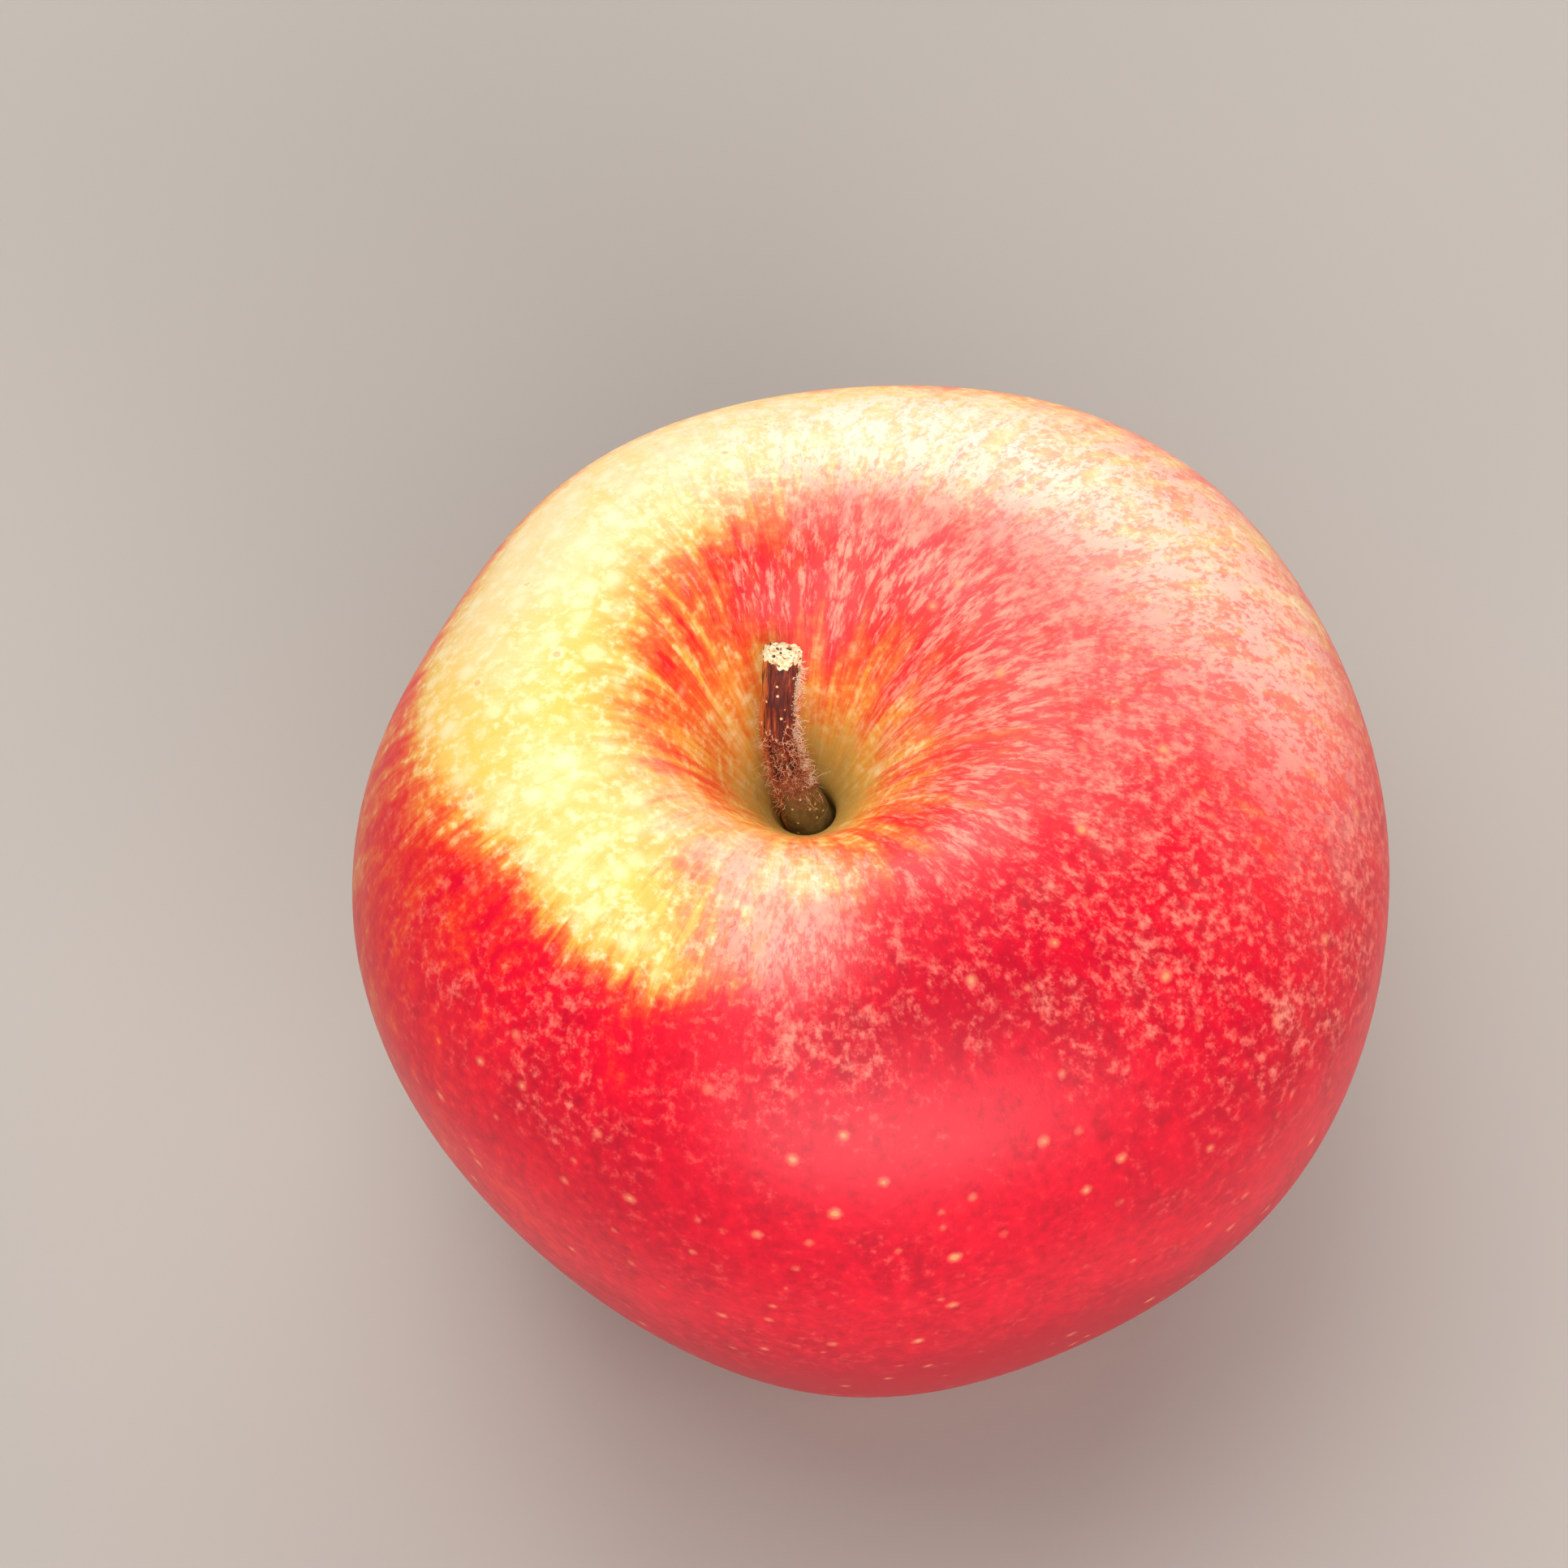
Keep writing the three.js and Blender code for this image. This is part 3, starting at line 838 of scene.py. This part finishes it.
class OBJECT_OT_stem_wood(bpy.types.Operator):
    """Make the stem with its barked side and its ragged, pitted cut end"""

    bl_idname = "object.stem_wood"
    bl_label = "Stem"
    places = 96
    body_rings = 170
    cut_rings = 16

    def execute(self, context):
        size = context.scene.fruit_size
        turn = round_turn(self.places)
        along = np.linspace(0, 1, self.body_rings)[:, None]
        inward = np.linspace(1, 0, self.cut_rings + 1)[1:-1][:, None]
        rings = np.concatenate([self.bark(size, along, turn), self.cut(size, inward, turn)])
        middle = middle_of(size)
        tip = rings[-1].mean(0, keepdims=True)
        mesh = lay_mesh("stem_wood", rings[None] - middle, stem_route(size)[:1] - middle, tip - middle)
        self.paint(mesh, along, inward, turn)
        set_piece("stem_wood", mesh, bark_material(), "stem")
        return {"FINISHED"}

    def bark(self, size, along, turn):
        """The side: the half width plus fine grooves up and down and slow bumps along it."""
        along, turn = np.broadcast_arrays(along, turn)
        grooves = ripples(turn, along * BARK_LENGTH, seed=11, turns=16, pitch=0.6, count=26)
        bumps = ripples(turn, along * BARK_LENGTH, seed=12, turns=4, pitch=3, count=18)
        points = stem_place(size, along, turn, GROOVE_DEPTH * grooves + BUMP_DEPTH * bumps)[0]
        return points + (self.fray(turn) * smooth_step(along, 0.93, 1))[..., None] * self.ahead(size)

    def cut(self, size, inward, turn):
        """The cut face: rings that shrink to the middle, torn at the rim and pitted inside it."""
        inward, turn = np.broadcast_arrays(inward, turn)
        half = stem_half_width(1.0)
        flat, _ = stem_place(size, np.ones_like(turn), turn, half * (inward - 1))
        pits = ripples(turn, inward * 5, seed=21, turns=7, pitch=4, count=30)
        holes, dish = smooth_step(-pits, 0.7, 1.3), smooth_step(1 - inward, 0.05, 0.5)
        depth = PIT_DEPTH * pits - HOLE_DEPTH * holes - DISH_DEPTH * dish
        rim = self.fray(turn) * inward**3
        return flat + (depth + rim)[..., None] * self.ahead(size)

    def fray(self, turn):
        """How far the torn rim stands up or is chipped, round the end."""
        return TEAR_DEPTH * ripples(turn, 0, seed=31, turns=17, pitch=1, count=30) - 0.05 * MM

    def ahead(self, size):
        return sides_of(stem_route(size), RIGHTWARD)[2][-1]

    def paint(self, mesh, along, inward, turn):
        """Bare wood over the cut and a notch down the front, and felt on the lower half. The points
        come in the order bark, cut, root and tip."""
        cut_points = inward.size * turn.size
        low, _ = np.broadcast_arrays(along, turn)
        notch_turn, notch_width, notch_depth = NOTCH
        tongue = notch_depth * np.exp(-((turn_between(np.degrees(turn), notch_turn) / notch_width) ** 2))
        edge = BARE_EDGE - tongue + 0.011 * ripples(turn, 0, seed=41, turns=14, pitch=1, count=20)
        bare = smooth_step(low - edge, -0.02, 0.012).ravel()
        patchy = ripples(turn, low * BARK_LENGTH, seed=43, turns=6, pitch=3, count=20)
        felt = ((1 - smooth_step(low, 0.25, 0.75)) * 0.8 + 0.15 * patchy).ravel()
        share = np.concatenate([np.repeat(along, turn.size), np.ones(cut_points), (0, 1)])
        radius = np.concatenate([np.ones(low.size), np.repeat(inward, turn.size), (0, 0)])
        turns = np.append(np.tile(turn, along.size + inward.size), (0, 0))
        across, deep = np.cos(turns) * radius, np.sin(turns) * radius
        write_fields(
            mesh,
            grain=np.stack([across, deep, share * STEM_LENGTH], -1),
            bare=np.concatenate([bare, np.ones(cut_points), (0, 1)]),
            felt=np.concatenate([felt, np.zeros(cut_points), (1, 0)]),
            root=1 - smooth_step(share, 0.16, 0.46),
            sunward=-np.sin(turns),
        )


class OBJECT_OT_stem_hair(bpy.types.Operator):
    """Make the felt of dead hairs on the stem, thickest down one edge and round the base"""

    bl_idname = "object.stem_hair"
    bl_label = "Stem hair"
    joints = 5
    sides = 3

    def execute(self, context):
        size, stem = context.scene.fruit_size, context.scene.stem_size
        dice = np.random.default_rng(7)
        count = stem.hairs
        ridge = np.arange(count) < count * RIDGE_SHARE
        along = np.where(ridge, dice.uniform(0.3, 0.95, count), dice.triangular(0.2, 0.36, 0.72, count))
        on_ridge = dice.normal(math.radians(RIDGE_TURN), 0.17, count)
        turn = np.where(ridge, on_ridge, dice.uniform(-np.pi, np.pi, count))
        long = stem.hair_length * dice.uniform(0.35, 1, count) * np.where(ridge, 0.6, 0.7)
        routes = self.curls(size, dice, along, turn, long) - middle_of(size)
        half = stem.hair_width / 2 * dice.uniform(0.7, 1.2, (count, 1)) * np.linspace(1, 0.45, self.joints)
        mesh = lay_mesh("stem_hair", self.tubes(routes, half), routes[:, 0], routes[:, -1])
        # Painted highlight: marks the ridge hairs, which take the lighter cream colour that stands in for
        # the back light on them.
        pale = np.concatenate([np.repeat(ridge, self.joints * self.sides), ridge, ridge])
        write_fields(mesh, pale=pale)
        set_piece("stem_hair", mesh, hair_material(), "stem")
        return {"FINISHED"}

    def curls(self, size, dice, along, turn, long):
        """Middle lines: straight out of the bark, with a sideways bend that grows as the square of
        the way along the hair, and a small circle added to it."""
        root, out = stem_place(size, along, turn, np.full(len(along), -0.04 * MM))
        way = np.linspace(0, 1, self.joints)[None, :, None]
        drift = dice.normal(0, 0.6, (len(along), 1, 3))
        spin = dice.uniform(0, 2 * np.pi, (len(along), 1, 3)) + 4.5 * way
        curl = 0.24 * (np.sin(spin) - np.sin(spin[:, :1]))
        return root[:, None] + long[:, None, None] * (out[:, None] * way * 0.5 + drift * way**2 + curl)

    def tubes(self, routes, half):
        """Rings square to each hair, at its joints."""
        ahead = unit(np.gradient(routes, axis=1))
        side = unit(np.cross(ahead, np.array([0.3, 0.5, 0.8])))
        front = np.cross(ahead, side)
        turn = round_turn(self.sides)
        out = side[:, :, None] * np.cos(turn)[:, None] + front[:, :, None] * np.sin(turn)[:, None]
        return routes[:, :, None] + out * half[:, :, None, None]


# ---- dried flower end
# Places are [distance from the core line, height] in mm, from root to tip
SEPAL_PLACES = ((2.75, 6.3), (2.25, 4.6), (2.7, 3.1), (4.5, 2.1))
SEPAL_HALF_WIDTHS = (0.8, 1.05, 0.9, 0.55, 0.15)
STAMEN_PLACES = ((1.5, 10.5), (1.4, 8.5), (1.15, 6.8), (1.05, 5.6))
STAMEN_HALF_WIDTHS = (0.15, 0.15, 0.14, 0.14, 0.14, 0.27, 0.2)
SHORT_STAMEN = 0.8  # length of every second stamen, as a share of the others'
STYLE_PLACES = ((0, 10.8), (0.05, 8), (0, 5.2))
STYLE_HALF_WIDTHS = (0.42, 0.36, 0.28, 0.3)
SEPAL_SEED, STAMEN_SEED, STYLE_SEED = 50, 70, 90
SPINDLE_RINGS = 36
WRINKLE = 0.08  # depth of the wrinkles, as a share of the half width


def spindle(size, name, places, half_widths, angle, thickness, seed, sides):
    """Mesh of a thin dried piece in the upright plane at an angle: an oval section, wide square to
    the plane, carried along the route, with seeded wrinkles."""
    out = np.array([math.cos(angle), math.sin(angle), 0])
    spots = np.array([out * (distance * MM) + (0, 0, height * MM) for distance, height in places])
    route = even_route(spots, SPINDLE_RINGS)
    side, front, _ = sides_of(route, out)
    along = np.linspace(0, 1, SPINDLE_RINGS)[:, None]
    turn = round_turn(sides)
    crease = 1 + WRINKLE * ripples(turn, along * 12, seed, turns=6, pitch=3, count=16)
    half = spread(along, half_widths) * crease
    across = (half * np.cos(turn))[..., None] * side[:, None]
    deep = (half * np.sin(turn) * thickness)[..., None] * front[:, None]
    shapes = (route[:, None] + across + deep, route)
    rings, grown = (grow(size, shape) - middle_of(size) for shape in shapes)
    return lay_mesh(name, rings[None], grown[:1], grown[-1:])


class OBJECT_OT_flower_sepals(bpy.types.Operator):
    """Make the dried sepals round the flower end"""

    bl_idname = "object.flower_sepals"
    bl_label = "Sepals"

    def execute(self, context):
        size, flower = context.scene.fruit_size, context.scene.flower_end_size
        paper = dried_material("dried_sepal", (58, 40, 26), (112, 88, 58), (168, 148, 112))
        shape = (SEPAL_PLACES, SEPAL_HALF_WIDTHS)
        for i in range(flower.sepals):
            angle = i / flower.sepals * 2 * np.pi
            mesh = spindle(size, "sepal", *shape, angle, flower.sepal_thickness, SEPAL_SEED + i, sides=20)
            set_piece(f"sepal_leaf_{i + 1}", mesh, paper, f"sepal_{i + 1}")
        return {"FINISHED"}


class OBJECT_OT_flower_threads(bpy.types.Operator):
    """Make the dried stamens and the styles in the flower tube"""

    bl_idname = "object.flower_threads"
    bl_label = "Stamens and styles"

    def execute(self, context):
        size, flower = context.scene.fruit_size, context.scene.flower_end_size
        thread = dried_material("dried_thread", (44, 28, 18), (84, 58, 38), (140, 108, 74))
        foot = STAMEN_PLACES[0][1]
        for i in range(flower.stamens):
            angle = (i + 0.5) / flower.stamens * 2 * np.pi
            long = SHORT_STAMEN if i % 2 else 1
            places = [(distance, foot + (height - foot) * long) for distance, height in STAMEN_PLACES]
            mesh = spindle(size, "stamen", places, STAMEN_HALF_WIDTHS, angle, 1, STAMEN_SEED + i, sides=12)
            set_piece(f"stamen_thread_{i + 1:02d}", mesh, thread, f"stamen_{i + 1:02d}")
        mesh = spindle(size, "style", STYLE_PLACES, STYLE_HALF_WIDTHS, 0, 1, STYLE_SEED, sides=16)
        set_piece("style_bundle", mesh, thread, "styles")
        return {"FINISHED"}


# ---- studio
CAMERA_AWAY = 550 * MM
CAMERA_RISE = 60  # degrees above the horizon
CAMERA_LENS = 162.07
SENSOR_WIDTH = 36
LOOKED_AT_HEIGHT = 31.565 * MM
AIM_OFFSET = Vector((-3.69, 9.03, 36.78)) * MM  # middle of the view, from the core line's foot
LIGHT_AIM = (0, 0, 30 * MM)
# Name, place in metres, width, height and colour of each soft light
LIGHTS = (
    ("back", (0.05, 1.1, 0.75), 1.6, 0.9, (1, 0.98, 0.95)),
    ("front", (0.25, -1.08, 0.39), 1.4, 0.72, (1, 0.96, 0.93)),
    ("fill", (0.1, -0.6, 0.75), 0.9, 0.5, (1, 0.97, 0.94)),
    ("top", (-0.25, 0.1, 1.1), 0.7, 0.7, (1, 0.98, 0.95)),
)
SKY_COLOUR = (1, 0.97, 0.94, 1)
FLOOR_GAP = 0.03 * MM  # keeps the paper just clear of the flat spots
FLOOR_STEPS = 33


def turned_to(place, aim):
    """The turn that makes a light or camera at a place look at the point that it is aimed at."""
    return (Vector(aim) - Vector(place)).to_track_quat("-Z", "Y").to_euler()


class SCENE_OT_studio(bpy.types.Operator):
    """Lay the paper floor and set the camera, the lights and the even sky"""

    bl_idname = "scene.studio"
    bl_label = "Studio"

    def execute(self, context):
        look = context.scene.studio_look
        self.lay_floor(look)
        self.set_camera(context.scene, Vector(middle_of(context.scene.fruit_size)))
        for light in LIGHTS:
            self.set_light(look, *light)
        world = bpy.data.worlds.new("even_sky")
        world.use_nodes = True
        sky = world.node_tree.nodes["Background"]
        sky.inputs["Color"].default_value = SKY_COLOUR
        sky.inputs["Strength"].default_value = look.sky
        context.scene.world = world
        context.scene.view_settings.view_transform = "Standard"
        return {"FINISHED"}

    def lay_floor(self, look):
        half = look.floor_width / 2
        steps = np.linspace(-half, half, FLOOR_STEPS)
        across, deep = np.meshgrid(steps, steps)
        points = np.stack([across, deep, np.full_like(across, -FLOOR_GAP)], -1).reshape(-1, 3)
        number = np.arange(across.size).reshape(across.shape)
        faces = np.stack([number[:-1, :-1], number[:-1, 1:], number[1:, 1:], number[1:, :-1]], -1)
        mesh = bpy.data.meshes.new("studio_floor")
        mesh.from_pydata(points.tolist(), [], faces.reshape(-1, 4).tolist())
        mesh.materials.append(floor_material(look))
        floor = put("studio_floor", mesh)

    def set_camera(self, scene, middle):
        rise = math.radians(CAMERA_RISE)
        looked_at = Vector((0, 0, LOOKED_AT_HEIGHT))
        place = looked_at + CAMERA_AWAY * Vector((0, -math.cos(rise), math.sin(rise)))
        camera = put("camera", bpy.data.cameras.new("camera"))
        camera.data.lens = CAMERA_LENS
        camera.data.sensor_width = SENSOR_WIDTH
        camera.data.clip_start = 10 * MM
        camera.location = place - middle
        camera.rotation_euler = turned_to(place, AIM_OFFSET)
        scene.camera = camera

    def set_light(self, look, name, place, wide, tall, colour):
        light = bpy.data.lights.new(name + "_light", "AREA")
        light.shape = "RECTANGLE"
        light.size = wide
        light.size_y = tall
        light.energy = getattr(look, name + "_power")
        light.color = colour
        lamp = put(name + "_light", light)
        lamp.location = place
        lamp.rotation_euler = turned_to(place, LIGHT_AIM)


class VIEW3D_PT_fruit(bpy.types.Panel):
    """Sidebar panel with the sizes and the makers of each piece"""

    bl_idname = "VIEW3D_PT_fruit"
    bl_label = "Dessert apple"
    bl_space_type = "VIEW_3D"
    bl_region_type = "UI"
    bl_category = "Fruit"

    def draw(self, context):
        for group in SETTINGS:
            settings = getattr(context.scene, group)
            for key in settings.bl_rna.properties.keys():
                if key not in ("rna_type", "name"):
                    self.layout.prop(settings, key)
        for maker in MAKERS:
            self.layout.operator(maker.bl_idname)


SETTINGS = {
    "fruit_size": FruitSize,
    "stem_size": StemSize,
    "flower_end_size": FlowerEndSize,
    "studio_look": StudioLook,
}
MAKERS = (
    SCENE_OT_studio,
    OBJECT_OT_fruit_skin,
    OBJECT_OT_stem_wood,
    OBJECT_OT_stem_hair,
    OBJECT_OT_flower_sepals,
    OBJECT_OT_flower_threads,
)


def register():
    for kind in (*SETTINGS.values(), *MAKERS, VIEW3D_PT_fruit):
        bpy.utils.register_class(kind)
    for name, kind in SETTINGS.items():
        setattr(bpy.types.Scene, name, bpy.props.PointerProperty(type=kind))


def unregister():
    for name in SETTINGS:
        delattr(bpy.types.Scene, name)
    for kind in (VIEW3D_PT_fruit, *reversed(MAKERS), *SETTINGS.values()):
        bpy.utils.unregister_class(kind)


def main():
    register()
    bpy.ops.scene.studio()
    bpy.ops.object.fruit_skin()
    bpy.ops.object.stem_wood()
    bpy.ops.object.stem_hair()
    bpy.ops.object.flower_sepals()
    bpy.ops.object.flower_threads()


if __name__ == "__main__":
    main()
